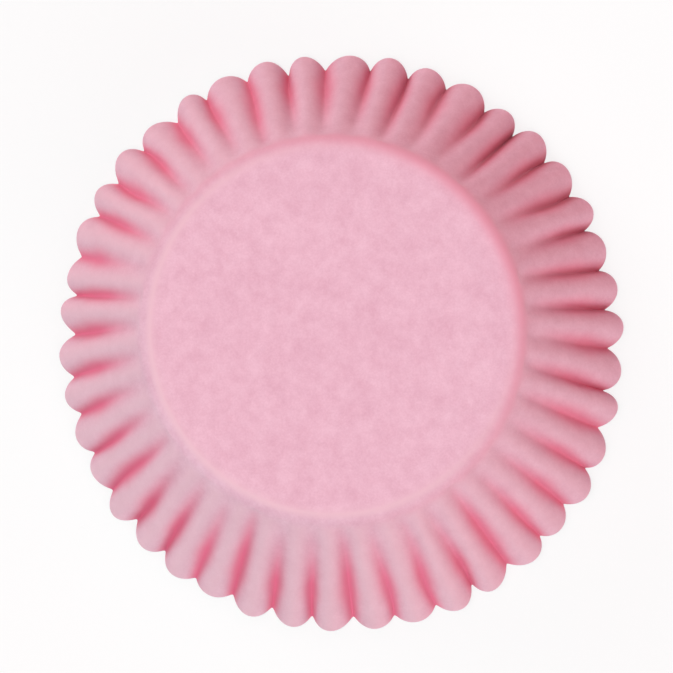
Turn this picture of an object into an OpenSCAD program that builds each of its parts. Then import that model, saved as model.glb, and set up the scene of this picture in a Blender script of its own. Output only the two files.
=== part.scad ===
// A paper cupcake liner, lying base up as it was put down, with its rim on the table.
// It is one round sheet, pressed into a flat base, a rounded bend and a flared wall.
// A flat sheet has more paper round its edge than the flared wall has room for.
// The flutes take that paper up, so they start at the bend and deepen towards the rim.

/* [Base] */
// Diameter of the base, taken at the corner where its plane meets the wall's slope
base_d = 50; // [40:1:70]
// Radius of the bend between the base and the wall, on the outside
bend_r = 2.2; // [0.5:0.1:4]

/* [Wall] */
// Length of paper up the wall, from the base's corner to the rim
wall_l = 33; // [20:1:45]
// Slope of the wall, in degrees away from upright
flare = 24.7; // [12:0.1:35]
// Thickness of the paper
paper_t = 0.06; // [0.04:0.01:0.12]

/* [Flutes] */
// Number of flutes round the wall
flute_n = 42; // [30:1:48]
// Depth of the flutes at the rim, from the inner folds to the crests
flute_depth = 2.1; // [1:0.1:3]
// How far the inner folds are pinched shut at the rim, where 0 is a plain wave
fold_pinch = 0.72; // [0:0.02:0.9]
// How the flutes deepen up the wall, where 1 is evenly and less is early
flute_growth = 0.67; // [0.4:0.01:1]
// How the inner folds pinch shut up the wall, where 1 is evenly and less is early
pinch_growth = 0.9; // [0.4:0.02:1.2]
// Where the first inner fold lies, in degrees round from +X
flute_turn = -1.6; // [-4:0.2:4]

/* [Handling] */
// How much deeper and tighter the flutes are towards the side where the rim was squeezed
squeeze = 0.1; // [0:0.02:0.2]
// Direction of that side, in degrees from +X
squeeze_turn = 40; // [0:5:90]
// Sideways stray of the inner folds at the rim, as a share of one flute
fold_stray = 0.06; // [0:0.01:0.1]
// Sideways sway of the inner folds on their way up the wall, as a share of one flute
fold_sway = 0.05; // [0:0.01:0.1]
// Sideways stray of the crests at the rim, as a share of one flute
crest_stray = 0.08; // [0:0.01:0.1]
// Difference in depth between the inner folds, as a share of their depth
fold_depth_stray = 0.42; // [0:0.02:0.6]
// Difference in height between the crests, as a share of their height
crest_height_stray = 0.3; // [0:0.02:0.6]
// How much further up the wall some inner folds start than others
late_stray = 0.4; // [0:0.05:0.6]
// Widening of the rim one way and narrowing across it, as a share of its radius
rim_oval = 0.015; // [0:0.001:0.03]
// Direction of that widening, in degrees from +Y towards -X
oval_turn = 18; // [0:1:40]
// Bulge of the rim at its four diagonals, as a share of its radius
rim_square = 0.005; // [0:0.001:0.01]

/* [Hidden] */

// Facets round one flute, and rings along the bend and up the wall
flute_facets = 8;
bend_rings = 3;
wall_rings = 4;
// How the wall's rings crowd towards the base, where the flutes change fastest
ring_crowding = 1.8;
// Half step over which a slope of the paper is measured
slope_step = 0.01;

// The bend turns the paper from the base's plane down into the wall's slope
bend_turn = 90 - flare;
bend_reach = bend_r * tan(bend_turn / 2);
bend_l = bend_r * bend_turn * PI / 180;
flat_r = base_d / 2 - bend_reach;
// Paper distance along the section, from the start of the bend to the rim
rim_s = bend_l + wall_l - bend_reach;

// How many times stronger the squeeze shows in the pinch of the folds than in their depth
squeeze_on_pinch = 4;

// Above 0 for the flutes on the squeezed side, below 0 for those across from it
function squeezed(i) = squeeze * cos(i * 360 / flute_n - squeeze_turn);

// Steps between the sines that make one flute differ from the next
fold_wave = 137;
sway_wave = 119;
crest_wave = 101;
fold_depth_wave = 73;
crest_height_wave = 163;
late_wave = 157;

// A value between -1 and 1 for fold or crest number i, with no visible order
function uneven(i, wave) = (sin(wave * (i % flute_n)) + sin(1.7 * wave * (i % flute_n) + 50)) / 2;

// How deep the inner fold i lies under the mean wall, and how high crest i stands over it
function fold_depth(i) =
    flute_depth / 2 * (1 + squeezed(i) + fold_depth_stray * uneven(i, fold_depth_wave));
function crest_height(i) =
    flute_depth / 2 * (1 + squeezed(i) + crest_height_stray * uneven(i, crest_height_wave));

// How far inner fold i is pinched shut at the rim, always short of 1, where it would close
function pinch(i) = 1 - (1 - fold_pinch) * (1 - squeeze_on_pinch * squeezed(i));

// Above 1 where inner fold i starts further up the wall, below 1 where it starts at the bend
function lateness(i) = 1 + late_stray * uneven(i, late_wave);

// The rim stands on its deepest inner fold
deepest_fold = max([for (i = [0 : flute_n - 1]) fold_depth(i)]);
liner_h = (wall_l * cos(flare)) + (deepest_fold + paper_t) * sin(flare);

// Radius and height of the plain section at paper distance s from the start of the bend
function section(s) =
    s < 0 ? [flat_r + s, liner_h] :
    s < bend_l ? bend_point(s / bend_l * bend_turn) :
    wall_point(s - bend_l + bend_reach);
function bend_point(turned) = [
    flat_r + bend_r * sin(turned),
    liner_h - bend_r * (1 - cos(turned))
];
function wall_point(d) = [
    base_d / 2 + d * sin(flare),
    liner_h - d * cos(flare)
];

// Share of the way up the fluted wall, 0 all over the base and the bend
function wall_share(s) = max(0, s - bend_l) / (rim_s - bend_l);

// Place of inner fold i round the wall, counted in flutes
function fold_place(i, share) =
    i + fold_stray * share * uneven(i, fold_wave) + fold_sway * sin(360 * share) * uneven(i, sway_wave);

// Outer face of the paper, q flutes round the wall and at paper distance s.
// From fold to fold the section is a flattened wave: x gathers at the folds, y swells between.
function outer_face(q, s) =
    let (
        i = floor(q),
        v = q - i,
        share = wall_share(s),
        swell = (1 - cos(360 * v)) / 2,
        near_i = v < 0.5 ? i : i + 1,
        late = lateness(near_i),
        crest = share ^ flute_growth * crest_height(i),
        fold = share ^ (flute_growth * late) * fold_depth(near_i),
        rise = swell * crest - (1 - swell) * fold,
        gathered = v - pinch(near_i) * share ^ (pinch_growth * late) * sin(360 * v) / (2 * PI),
        from = fold_place(i, share),
        to = fold_place(i + 1, share),
        place = from + (to - from) * gathered + crest_stray * share * swell * uneven(i, crest_wave),
        angle = place * 360 / flute_n + flute_turn,
        oval = rim_oval * (1 + share) / 2 * cos(2 * (angle - oval_turn)),
        square = rim_square * share * cos(4 * angle),
        plain = section(s),
        r = (plain[0] + rise * cos(flare)) * (1 - oval - square)
    )
    [r * cos(angle), r * sin(angle), plain[1] + rise * sin(flare)];

// Direction straight out of the paper
function outward(q, s) =
    let (
        before = (q - slope_step + flute_n) % flute_n,
        round = outer_face(q + slope_step, s) - outer_face(before, s),
        along = outer_face(q, s + slope_step) - outer_face(q, s - slope_step),
        across = cross(along, round)
    )
    across / norm(across);
function inner_face(q, s) = outer_face(q, s) - paper_t * outward(q, s);

// Paper distances of the rings, closer together near the base
ring_s = [
    for (b = [0 : bend_rings - 1]) bend_l * b / bend_rings,
    for (w = [0 : wall_rings]) bend_l + (rim_s - bend_l) * (w / wall_rings) ^ ring_crowding
];
ring_n = len(ring_s);
round_n = flute_n * flute_facets;

// The sheet is one closed tube of rings: down its outer face, round the rim's edge, up its inner face
module liner() {
    color([0.93, 0.71, 0.77])
    polyhedron(
        points = [
            for (s = ring_s) for (j = [0 : round_n - 1]) outer_face(j / flute_facets, s),
            for (k = [ring_n - 1 : -1 : 0]) for (j = [0 : round_n - 1]) inner_face(j / flute_facets, ring_s[k])
        ],
        faces = [
            [for (j = [round_n - 1 : -1 : 0]) j],
            for (k = [0 : 2 * ring_n - 2]) for (j = [0 : round_n - 1]) each band_faces(k, j),
            [for (j = [0 : round_n - 1]) (2 * ring_n - 1) * round_n + j]
        ],
        convexity = 10
    );
}

// Two triangles between ring k and the next, with the diagonals mirrored about each crest
function band_faces(k, j) =
    let (
        a = k * round_n + j,
        b = k * round_n + (j + 1) % round_n,
        c = a + round_n,
        d = b + round_n
    )
    j % flute_facets < flute_facets / 2 ? [[a, b, d], [a, d, c]] : [[a, b, c], [b, d, c]];

liner();
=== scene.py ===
import math
import bpy
from mathutils import Matrix, Vector


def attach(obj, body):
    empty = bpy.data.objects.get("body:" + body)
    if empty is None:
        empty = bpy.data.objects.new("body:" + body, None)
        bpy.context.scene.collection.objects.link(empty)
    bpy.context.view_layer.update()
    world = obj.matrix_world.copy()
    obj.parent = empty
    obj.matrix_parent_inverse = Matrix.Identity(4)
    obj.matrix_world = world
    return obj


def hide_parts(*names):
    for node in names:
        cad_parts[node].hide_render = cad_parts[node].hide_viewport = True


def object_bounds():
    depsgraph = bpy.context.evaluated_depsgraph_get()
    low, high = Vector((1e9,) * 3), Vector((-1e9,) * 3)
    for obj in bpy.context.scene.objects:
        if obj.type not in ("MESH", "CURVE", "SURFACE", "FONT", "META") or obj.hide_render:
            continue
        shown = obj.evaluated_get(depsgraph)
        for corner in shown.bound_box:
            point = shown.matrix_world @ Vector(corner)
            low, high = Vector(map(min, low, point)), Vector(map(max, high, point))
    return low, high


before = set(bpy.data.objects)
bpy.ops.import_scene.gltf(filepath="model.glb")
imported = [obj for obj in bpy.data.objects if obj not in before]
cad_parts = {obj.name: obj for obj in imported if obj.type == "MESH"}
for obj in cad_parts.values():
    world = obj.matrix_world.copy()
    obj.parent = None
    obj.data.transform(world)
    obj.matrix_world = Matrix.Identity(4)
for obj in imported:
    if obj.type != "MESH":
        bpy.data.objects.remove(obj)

cadLow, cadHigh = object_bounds()
mm = 0.001
fullTurn = 2 * math.pi
print("frame loaded")

# Camera: almost straight above, a little to the right and below as the photo is held
cameraValues = {
    "distance": 0.525,
    "lens": 202.5,
    "tilt": math.radians(3.93),                # away from straight above
    "towards": math.radians(33.4),             # from the photo's lower edge towards its right
    "aim": Vector((-0.55 * mm, 0.79 * mm, 0.5 * mm)),
    "nearest": 10 * mm,                        # what lies closer than this isn't drawn
}


def makeCamera(values):
    back = Vector((
        math.sin(values["towards"]) * math.sin(values["tilt"]),
        -math.cos(values["towards"]) * math.sin(values["tilt"]),
        math.cos(values["tilt"]),
    ))
    right = Vector((0, 1, 0)).cross(back).normalized()
    up = back.cross(right)
    bpy.ops.object.camera_add(location=values["aim"] + back * values["distance"])
    camera = bpy.context.object
    camera.rotation_euler = Matrix((right, up, back)).transposed().to_euler()
    camera.data.lens = values["lens"]
    camera.data.clip_start = values["nearest"]
    bpy.context.scene.camera = camera


makeCamera(cameraValues)
print("camera made")

# The liner: a flat disc, a tight bend and a plain cone, then pressed into flutes
linerValues = {
    "baseRadius": 25.0 * mm,                   # to the corner where base and wall would meet
    "bendRadius": 2.2 * mm,
    "wallLength": 33.0 * mm,                   # paper from that corner to the rim
    "wallFlare": math.radians(24.7),           # away from upright
    "paperThickness": 0.06 * mm,
    "fluteCount": 42,
    "fluteDepth": 2.1 * mm,                    # at the rim, from inner folds to crests
    "fluteGrowth": 0.67,                       # how the flutes deepen up the wall, less than 1 is early
    "fluteTurn": math.radians(-1.6),           # where the first inner fold lies, round from +X
    "foldPinch": 0.72,                         # 1 would close the inner folds at the rim
    "pinchGrowth": 0.9,                        # how the folds pinch shut up the wall
    # one side of the rim has been squeezed: its flutes are deeper and tighter
    "squeeze": 0.1,
    "squeezeOnPinch": 4,                       # how many times stronger it shows in the pinch
    "squeezeTurn": math.radians(40),           # where that side is, round from +X
    # no flute is quite like the next
    "foldStray": 0.06,                         # sideways at the rim, as a share of one flute
    "foldSway": 0.05,                          # sideways on the way there
    "crestStray": 0.08,
    "foldDepthStray": 0.42,
    "crestHeightStray": 0.3,
    "lateStray": 0.4,                          # how much later some folds start than others
    "rimOval": 0.015,                          # half as much at the base
    "ovalTurn": math.radians(18),              # from +Y towards -X
    "rimSquareness": 0.005,                    # a bulge at the four diagonals
    # the mesh
    "stepsPerFlute": 20,
    "baseRings": (0.97, 0.88, 0.72, 0.5, 0.28, 0.1),
    "bendRings": 6,
    "wallRings": 30,
    "ringCrowding": 1.5,                       # the wall's rings gather towards the base
    "smoothAngle": math.radians(60),           # the rim's edges are sharper and stay hard
    # painted shade in the hollows
    "foldShade": 0.8,                          # 1 would be all of the hollow's painted shade colour
    "foldShadeLost": 2,                        # less of it where the rim is squeezed
    "insideShade": 0.5,                        # the same inside the cup
    "shadeReach": 0.6,                         # share of the wall over which the folds reach full shade
    "shadeGrowth": 1.3,                        # how the shade deepens up to there, more than 1 is late
    "shadeNarrowness": 2.7,                    # a power of the wave across the flute
    "rimLight": 0.7,                           # share of the wall from where light gets in at the rim
    "rimNarrowness": 9,                        # how much narrower that makes the shade
    # painted shade, darkest at the bottom of the tightest folds
    "openPinch": 0.785,                        # pinch up to which there is none
    "tightPinch": 0.84,                        # pinch from which it is all there
    "creaseGrowth": 2,
    "creaseNarrowness": 12,
    # a painted highlight along the bend and the crests
    "highlight": 0.8,
    "highlightLost": 8,                             # less of it where the rim is squeezed
    "highlightPlace": 0.2,                          # share of the bend where it is strongest
    "highlightWidth": 0.2,
    "crestHighlight": 0.6,                          # how much of it the crests get
    "crestHighlightReach": 0.04,                    # share of the wall over which it begins there
    # painted shade at the wall's foot, where the flutes begin
    "foot": 0.4,
    "footGained": 5,                           # more of it where the rim is squeezed
    "footPlace": 0.95,                         # share of the bend where it is strongest
    "footShift": 3.5,                          # how much closer to the base where the rim is squeezed
    "footWidth": 0.5,
}
strayWaves = {                                 # degrees that each stray turns by from flute to flute
    "fold": 137,
    "sway": 119,
    "crest": 101,
    "foldDepth": 73,
    "crestHeight": 163,
    "late": 157,
}

bendTurn = math.pi / 2 - linerValues["wallFlare"]
bendReach = linerValues["bendRadius"] * math.tan(bendTurn / 2)
flatRadius = linerValues["baseRadius"] - bendReach

# Distances are measured along the paper, from where the bend begins
bendLength = linerValues["bendRadius"] * bendTurn
rimDistance = bendLength + linerValues["wallLength"] - bendReach


def wallShare(distance):                       # 0 all over the base and the bend, 1 at the rim
    return max(0, distance - bendLength) / (rimDistance - bendLength)


def plainSection(distance):                    # radius and height before the flutes are pressed
    if distance <= 0:
        return flatRadius + distance, cadHigh.z
    if distance < bendLength:
        turned = distance / linerValues["bendRadius"]
        drop = linerValues["bendRadius"] * (1 - math.cos(turned))
        return flatRadius + linerValues["bendRadius"] * math.sin(turned), cadHigh.z - drop
    along = distance - bendLength + bendReach
    flare = linerValues["wallFlare"]
    return linerValues["baseRadius"] + along * math.sin(flare), cadHigh.z - along * math.cos(flare)


def paperDistance(radius):                     # the way back, from a plain ring's radius
    bendRadius = linerValues["bendRadius"]
    bendEnd = plainSection(bendLength)[0]
    if radius <= flatRadius:
        return radius - flatRadius
    if radius < bendEnd:
        return bendRadius * math.asin((radius - flatRadius) / bendRadius)
    return bendLength + (radius - bendEnd) / math.sin(linerValues["wallFlare"])


def uneven(index, wave):                       # between -1 and 1, with no visible order
    turned = wave * (index % linerValues["fluteCount"])
    return (math.sin(math.radians(turned)) + math.sin(math.radians(1.7 * turned + 50))) / 2


def squeezed(index):                           # above 0 on the squeezed side, below 0 across from it
    angle = index * fullTurn / linerValues["fluteCount"]
    return linerValues["squeeze"] * math.cos(angle - linerValues["squeezeTurn"])


def foldDepth(index):                          # under the plain wall, at the rim
    stray = linerValues["foldDepthStray"] * uneven(index, strayWaves["foldDepth"])
    return linerValues["fluteDepth"] / 2 * (1 + squeezed(index) + stray)


def crestHeight(index):                        # over the plain wall, at the rim
    stray = linerValues["crestHeightStray"] * uneven(index, strayWaves["crestHeight"])
    return linerValues["fluteDepth"] / 2 * (1 + squeezed(index) + stray)


def foldPinch(index):
    return 1 - (1 - linerValues["foldPinch"]) * (1 - linerValues["squeezeOnPinch"] * squeezed(index))


def lateness(index):                           # above 1 where the fold starts further up the wall
    return 1 + linerValues["lateStray"] * uneven(index, strayWaves["late"])


def foldPlace(index, share):                   # round the wall, counted in flutes
    stray = linerValues["foldStray"] * share * uneven(index, strayWaves["fold"])
    sway = linerValues["foldSway"] * math.sin(fullTurn * share) * uneven(index, strayWaves["sway"])
    return index + stray + sway


def nearestFold(flutesRound):
    return math.floor(flutesRound + 0.5)


def gatheredPlace(flutesRound, share):         # share of the flute, gathered towards its folds
    across = flutesRound % 1
    nearFold = nearestFold(flutesRound)
    growth = linerValues["pinchGrowth"] * lateness(nearFold)
    return across - foldPinch(nearFold) * share ** growth * math.sin(fullTurn * across) / fullTurn


def pressedPlace(flutesRound, distance):       # where the die puts a point of the plain cup
    fold = math.floor(flutesRound)
    nearFold = nearestFold(flutesRound)
    share = wallShare(distance)
    growth = linerValues["fluteGrowth"]
    crest = share ** growth * crestHeight(fold)
    hollow = share ** (growth * lateness(nearFold)) * foldDepth(nearFold)
    swell = (1 - math.cos(fullTurn * (flutesRound - fold))) / 2
    rise = swell * crest - (1 - swell) * hollow
    start = foldPlace(fold, share)
    end = foldPlace(fold + 1, share)
    lean = linerValues["crestStray"] * share * swell * uneven(fold, strayWaves["crest"])
    place = start + (end - start) * gatheredPlace(flutesRound, share) + lean
    angle = place * fullTurn / linerValues["fluteCount"] + linerValues["fluteTurn"]
    oval = linerValues["rimOval"] * (1 + share) / 2 * math.cos(2 * (angle - linerValues["ovalTurn"]))
    squareness = linerValues["rimSquareness"] * share * math.cos(4 * angle)
    flare = linerValues["wallFlare"]
    radius, height = plainSection(distance)
    radius = (radius + rise * math.cos(flare)) * (1 - oval - squareness)
    return Vector((radius * math.cos(angle), radius * math.sin(angle), height + rise * math.sin(flare)))


def ringDistances():                           # every ring that the bend and the wall get
    bendRings = linerValues["bendRings"]
    wallRings = linerValues["wallRings"]
    onBend = [bendLength * ring / bendRings for ring in range(1, bendRings)]
    shares = [(ring / wallRings) ** linerValues["ringCrowding"] for ring in range(wallRings + 1)]
    return onBend + [bendLength + (rimDistance - bendLength) * share for share in shares]


def makePlainCup():
    bpy.ops.object.select_all(action="DESELECT")
    bpy.ops.mesh.primitive_circle_add(
        vertices=linerValues["fluteCount"] * linerValues["stepsPerFlute"],
        radius=flatRadius,
        fill_type="NGON",
        location=(0, 0, cadHigh.z),
    )
    bpy.ops.object.transform_apply(location=True, rotation=True, scale=True)
    cup = bpy.context.object
    cup.name = "liner_paper"
    bpy.ops.object.mode_set(mode="EDIT")
    bpy.ops.mesh.select_mode(type="FACE")
    radius = flatRadius
    for share in linerValues["baseRings"]:
        bpy.ops.mesh.inset(thickness=radius - share * flatRadius, depth=0)
        radius = share * flatRadius
    bpy.ops.mesh.poke()
    bpy.ops.mesh.select_mode(type="EDGE")
    bpy.ops.mesh.select_all(action="DESELECT")
    bpy.ops.mesh.select_non_manifold()         # the open outer edge
    radius, height = plainSection(0)
    for distance in ringDistances():
        nextRadius, nextHeight = plainSection(distance)
        grow = nextRadius / radius
        down = (0, 0, nextHeight - height)
        bpy.ops.mesh.extrude_region_move(TRANSFORM_OT_translate={"value": down})
        bpy.ops.transform.resize(value=(grow, grow, 1), center_override=(0, 0, nextHeight))
        radius, height = nextRadius, nextHeight
    bpy.ops.mesh.select_all(action="SELECT")
    bpy.ops.mesh.normals_make_consistent(inside=False)
    bpy.ops.object.mode_set(mode="OBJECT")
    return cup


def paperSpot(point):                          # flutes round and distance of a point of the plain cup
    flutesRound = math.atan2(point.y, point.x) % fullTurn / fullTurn * linerValues["fluteCount"]
    return flutesRound, paperDistance(math.hypot(point.x, point.y))


def pressFlutes(cup):
    spots = [paperSpot(vertex.co) for vertex in cup.data.vertices]
    for vertex, spot in zip(cup.data.vertices, spots):
        vertex.co = pressedPlace(*spot)
    return spots


def giveThickness(cup):
    bpy.ops.object.select_all(action="DESELECT")
    cup.select_set(True)
    bpy.context.view_layer.objects.active = cup
    bpy.ops.object.modifier_add(type="SOLIDIFY")
    solidify = cup.modifiers[-1]
    solidify.thickness = linerValues["paperThickness"]
    solidify.offset = -1                       # the outer face stays where the die left it
    bpy.ops.object.modifier_apply(modifier=solidify.name)
    bpy.ops.object.shade_smooth_by_angle(angle=linerValues["smoothAngle"])


def shadeReached(flutesRound, share):          # 0 where the fold starts, 1 from where its shade is full
    return min(1, share ** lateness(nearestFold(flutesRound)) / linerValues["shadeReach"])


def hollowShade(flutesRound, distance, inside):   # most in the hollows, 0 on the ridges and the base
    share = wallShare(distance)
    nearRim = max(0, share - linerValues["rimLight"]) / (1 - linerValues["rimLight"])
    narrowness = linerValues["shadeNarrowness"] + linerValues["rimNarrowness"] * nearRim
    depth = shadeReached(flutesRound, share) ** linerValues["shadeGrowth"]
    across = math.pi * gatheredPlace(flutesRound, share)
    if inside:                                 # seen from there the crests are the hollows
        return linerValues["insideShade"] * abs(math.sin(across)) ** narrowness * depth
    strength = linerValues["foldShade"] - linerValues["foldShadeLost"] * squeezed(flutesRound)
    return min(1, strength) * abs(math.cos(across)) ** narrowness * depth


def creaseShade(flutesRound, distance):        # 1 at the bottom of the tightest folds
    share = wallShare(distance)
    past = foldPinch(nearestFold(flutesRound)) - linerValues["openPinch"]
    tightness = past / (linerValues["tightPinch"] - linerValues["openPinch"])
    across = math.pi * gatheredPlace(flutesRound, share)
    crease = abs(math.cos(across)) ** linerValues["creaseNarrowness"]
    depth = shadeReached(flutesRound, share) ** linerValues["creaseGrowth"]
    return max(0, min(1, tightness)) * crease * depth


def bendBand(distance, place, width):          # 1 at that share of the bend, fading to both sides
    return math.exp(-((distance / bendLength - place) / width) ** 2)


def paperHighlight(flutesRound, distance):          # painted highlight, strongest along the bend, less on the crests
    share = wallShare(distance)
    strength = linerValues["highlight"] - linerValues["highlightLost"] * squeezed(flutesRound)
    crest = math.sin(math.pi * gatheredPlace(flutesRound, share)) ** 2
    onCrest = linerValues["crestHighlight"] * crest * min(1, share / linerValues["crestHighlightReach"])
    onBend = bendBand(distance, linerValues["highlightPlace"], linerValues["highlightWidth"])
    return min(1, max(0, strength)) * (onCrest + onBend)


def footShade(flutesRound, distance):          # painted shade, most where the squeezed side's flutes begin
    squeeze = squeezed(flutesRound)
    strength = max(0, linerValues["foot"] + linerValues["footGained"] * squeeze)
    place = linerValues["footPlace"] - linerValues["footShift"] * squeeze
    return strength * bendBand(distance, place, linerValues["footWidth"])


def paint(cup, name, amounts):
    painted = cup.data.attributes.new(name, "FLOAT", "POINT")
    painted.data.foreach_set("value", amounts)


def shadePaper(cup, spots):                    # the outer face's points come before the inner face's
    bare = [0] * len(spots)
    outerHollows = [hollowShade(*spot, inside=False) for spot in spots]
    innerHollows = [hollowShade(*spot, inside=True) for spot in spots]
    paint(cup, "hollow_shade", outerHollows + innerHollows)
    paint(cup, "crease_shade", [creaseShade(*spot) for spot in spots] + bare)
    paint(cup, "foot_shade", [footShade(*spot) for spot in spots] + bare)
    paint(cup, "paper_highlight", [paperHighlight(*spot) for spot in spots] + bare)


linerPiece = makePlainCup()
linerSpots = pressFlutes(linerPiece)
giveThickness(linerPiece)
shadePaper(linerPiece, linerSpots)
print("liner pressed:", len(linerPiece.data.vertices), "points")

# Paper: dyed in the pulp, cloudy where the fibres lie thicker, a little light comes through
paperValues = {
    "paleTint": (0.965, 0.635, 0.765, 1),
    "deepTint": (0.835, 0.48, 0.61, 1),
    "hollowShadeTint": (0.93, 0.145, 0.295, 1),     # painted shade: the folds lie in shade, and light bouncing between them turns redder
    "creaseShadeTint": (0.68, 0.17, 0.25, 1),       # painted shade: hardly any light gets into the tightest of them
    # painted shade at the foot of the wall
    "footShadeTint": (0.95, 0.465, 0.595, 1),
    # painted highlight along the bend and the crests
    "highlightTint": (0.94, 0.615, 0.71, 1),
    "throughTint": (0.97, 0.25, 0.44, 1),      # of the light that comes through
    "throughShare": 0.18,
    "fibreRun": (1, 1, 0.3),                   # clouds and fibres are drawn out down the wall
    "clouds": {"Scale": 500, "Detail": 4, "Roughness": 0.7},    # the scale counts them in a metre
    "fibres": {"Scale": 3600, "Detail": 2, "Roughness": 0.5},
    "fibreShare": 0.5,                         # how strong the fibres are against the clouds
    "deepAt": 0.52,                            # both together where the tint is deepest
    "paleAt": 0.98,                            # and where it is palest
    "roughness": 0.6,
    "sheen": 0.14,
    "sheenTint": (1, 0.85, 0.9, 1),
    "bumpStrength": 0.5,
    "bumpHeight": 0.02 * mm,
}
mixSockets = {"below": 6, "over": 7, "result": 2}   # a Mix node's colours share their names with others


def addNode(tree, kind, **inputs):
    node = tree.nodes.new(kind)
    for name, value in inputs.items():
        node.inputs[name.replace("_", " ")].default_value = value
    return node


def addMath(tree, operation, *operands):       # an operand is a socket or a plain number
    node = tree.nodes.new("ShaderNodeMath")
    node.operation = operation
    for entry, operand in zip(node.inputs, operands):
        if isinstance(operand, (int, float)):
            entry.default_value = operand
        else:
            tree.links.new(operand, entry)
    return node


def addNoise(tree, place, settings):
    noise = addNode(tree, "ShaderNodeTexNoise", **settings)
    tree.links.new(place, noise.inputs["Vector"])
    return noise.outputs["Fac"]


def layOver(tree, amount, colour):             # a mix that shows the colour where the amount is 1
    mixed = tree.nodes.new("ShaderNodeMix")
    mixed.data_type = "RGBA"
    mixed.inputs[mixSockets["over"]].default_value = colour
    tree.links.new(amount, mixed.inputs["Factor"])
    return mixed


def tintBy(tree, below, attributeName, colour):   # lays the colour on where the attribute is painted
    painted = tree.nodes.new("ShaderNodeAttribute")
    painted.attribute_name = attributeName
    mixed = layOver(tree, painted.outputs["Fac"], colour)
    tree.links.new(below, mixed.inputs[mixSockets["below"]])
    return mixed.outputs[mixSockets["result"]]


def makePaper(values):
    paper = bpy.data.materials.new("pink_paper")
    paper.use_nodes = True
    tree = paper.node_tree
    link = tree.links.new
    surface = tree.nodes["Principled BSDF"]
    mapping = addNode(tree, "ShaderNodeMapping", Scale=values["fibreRun"])
    link(tree.nodes.new("ShaderNodeTexCoord").outputs["Object"], mapping.inputs["Vector"])
    clouds = addNoise(tree, mapping.outputs["Vector"], values["clouds"])
    fibres = addNoise(tree, mapping.outputs["Vector"], values["fibres"])
    pulp = addMath(tree, "MULTIPLY_ADD", fibres, values["fibreShare"], clouds).outputs[0]
    spread = addNode(tree, "ShaderNodeMapRange", From_Min=values["deepAt"], From_Max=values["paleAt"])
    link(pulp, spread.inputs["Value"])
    dyed = layOver(tree, spread.outputs["Result"], values["paleTint"])
    dyed.inputs[mixSockets["below"]].default_value = values["deepTint"]
    colour = dyed.outputs[mixSockets["result"]]
    colour = tintBy(tree, colour, "hollow_shade", values["hollowShadeTint"])
    colour = tintBy(tree, colour, "crease_shade", values["creaseShadeTint"])
    colour = tintBy(tree, colour, "foot_shade", values["footShadeTint"])
    colour = tintBy(tree, colour, "paper_highlight", values["highlightTint"])
    link(colour, surface.inputs["Base Color"])
    surface.inputs["Roughness"].default_value = values["roughness"]
    surface.inputs["Sheen Weight"].default_value = values["sheen"]
    surface.inputs["Sheen Tint"].default_value = values["sheenTint"]
    bump = addNode(tree, "ShaderNodeBump", Strength=values["bumpStrength"], Distance=values["bumpHeight"])
    link(pulp, bump.inputs["Height"])
    link(bump.outputs["Normal"], surface.inputs["Normal"])
    through = addNode(tree, "ShaderNodeBsdfTranslucent", Color=values["throughTint"])
    link(bump.outputs["Normal"], through.inputs["Normal"])
    both = addNode(tree, "ShaderNodeMixShader", Fac=values["throughShare"])
    link(surface.outputs["BSDF"], both.inputs[1])
    link(through.outputs["BSDF"], both.inputs[2])
    link(both.outputs["Shader"], tree.nodes["Material Output"].inputs["Surface"])
    return paper


linerPiece.data.materials.clear()
linerPiece.data.materials.append(makePaper(paperValues))
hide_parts("liner")
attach(linerPiece, "root")
print("paper made")

# Studio: a white table, a dim surround, wide soft lamps above and at two sides,
# and two weak rose lamps on the shade side, which tint the folds there
studioValues = {
    "tableSize": 6.0,
    "tableShade": 0.88,
    "tableGlow": 0.8,                          # share of plain white that is seen on the table
    "surroundStrength": 0.1,
    "surroundTint": (1, 0.86, 0.88, 1),
    "lamps": {                                 # bearing from +X, elevation, strength, width and colour
        "top_light": (209, 72, 1.85, 40, (0.93, 1, 0.995)),
        "left_light": (140, 28, 0.88, 40, (0.98, 1, 0.98)),
        "right_light": (300, 36, 1.07, 40, (0.98, 1, 0.98)),
        "rose_light_right": (-2, 20, 0.62, 40, (1, 0.13, 0.2)),
        "rose_light_back": (92, 20, 0.62, 40, (1, 0.13, 0.2)),
    },
}


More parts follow.
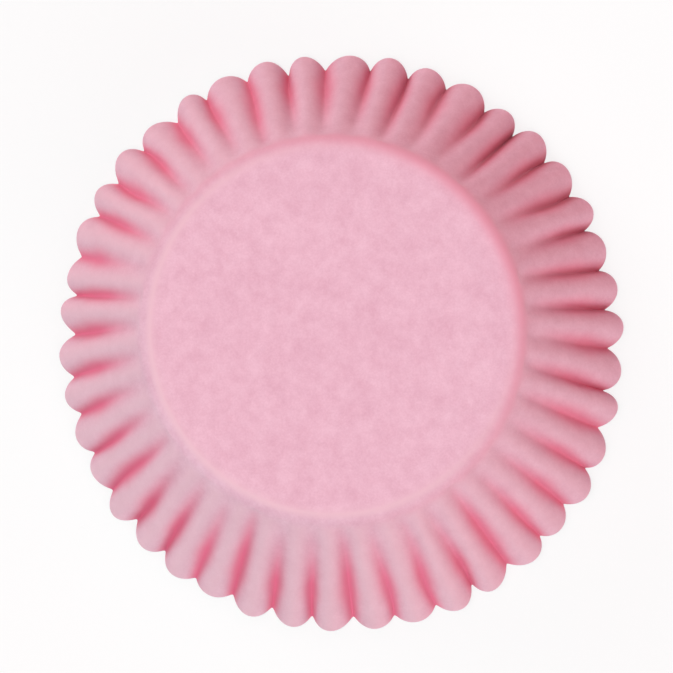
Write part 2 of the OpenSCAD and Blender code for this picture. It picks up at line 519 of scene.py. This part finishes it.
def makeTable(values):
    bpy.ops.object.select_all(action="DESELECT")
    bpy.ops.mesh.primitive_plane_add(size=values["tableSize"])
    table = bpy.context.object
    table.name = "table_top"
    white = bpy.data.materials.new("white_table")
    white.use_nodes = True
    tree = white.node_tree
    link = tree.links.new
    shade = values["tableShade"]
    matt = addNode(tree, "ShaderNodeBsdfDiffuse", Color=(shade, shade, shade, 1))
    plain = addNode(tree, "ShaderNodeEmission", Color=(1, 1, 1, 1), Strength=1)
    rays = tree.nodes.new("ShaderNodeLightPath").outputs
    mirrored = addMath(tree, "ADD", rays["Is Camera Ray"], rays["Is Glossy Ray"])
    through = addMath(tree, "ADD", mirrored.outputs[0], rays["Is Transmission Ray"])
    seen = addMath(tree, "SUBTRACT", through.outputs[0], rays["Is Diffuse Ray"])
    seen.use_clamp = True                      # light that the paper spreads still meets the matt table
    glow = addMath(tree, "MULTIPLY", seen.outputs[0], values["tableGlow"])
    both = tree.nodes.new("ShaderNodeMixShader")
    link(glow.outputs[0], both.inputs["Fac"])
    link(matt.outputs["BSDF"], both.inputs[1])
    link(plain.outputs["Emission"], both.inputs[2])
    link(both.outputs["Shader"], tree.nodes["Material Output"].inputs["Surface"])
    table.data.materials.append(white)


def makeSurround(values):
    bpy.context.scene.view_settings.view_transform = "Standard"
    world = bpy.data.worlds.new("pale_surround")
    world.use_nodes = True
    bpy.context.scene.world = world
    surround = world.node_tree.nodes["Background"]
    surround.inputs["Color"].default_value = values["surroundTint"]
    surround.inputs["Strength"].default_value = values["surroundStrength"]


def makeLamps(values):
    for name, (bearing, elevation, strength, width, colour) in values["lamps"].items():
        flat = math.cos(math.radians(elevation))
        direction = Vector((
            flat * math.cos(math.radians(bearing)),
            flat * math.sin(math.radians(bearing)),
            math.sin(math.radians(elevation)),
        ))
        bpy.ops.object.light_add(type="SUN", location=direction)
        lamp = bpy.context.object
        lamp.name = name
        lamp.rotation_euler = direction.to_track_quat("Z", "Y").to_euler()
        lamp.data.energy = strength
        lamp.data.color = colour
        lamp.data.angle = math.radians(width)


makeTable(studioValues)
makeSurround(studioValues)
makeLamps(studioValues)
print("studio made")
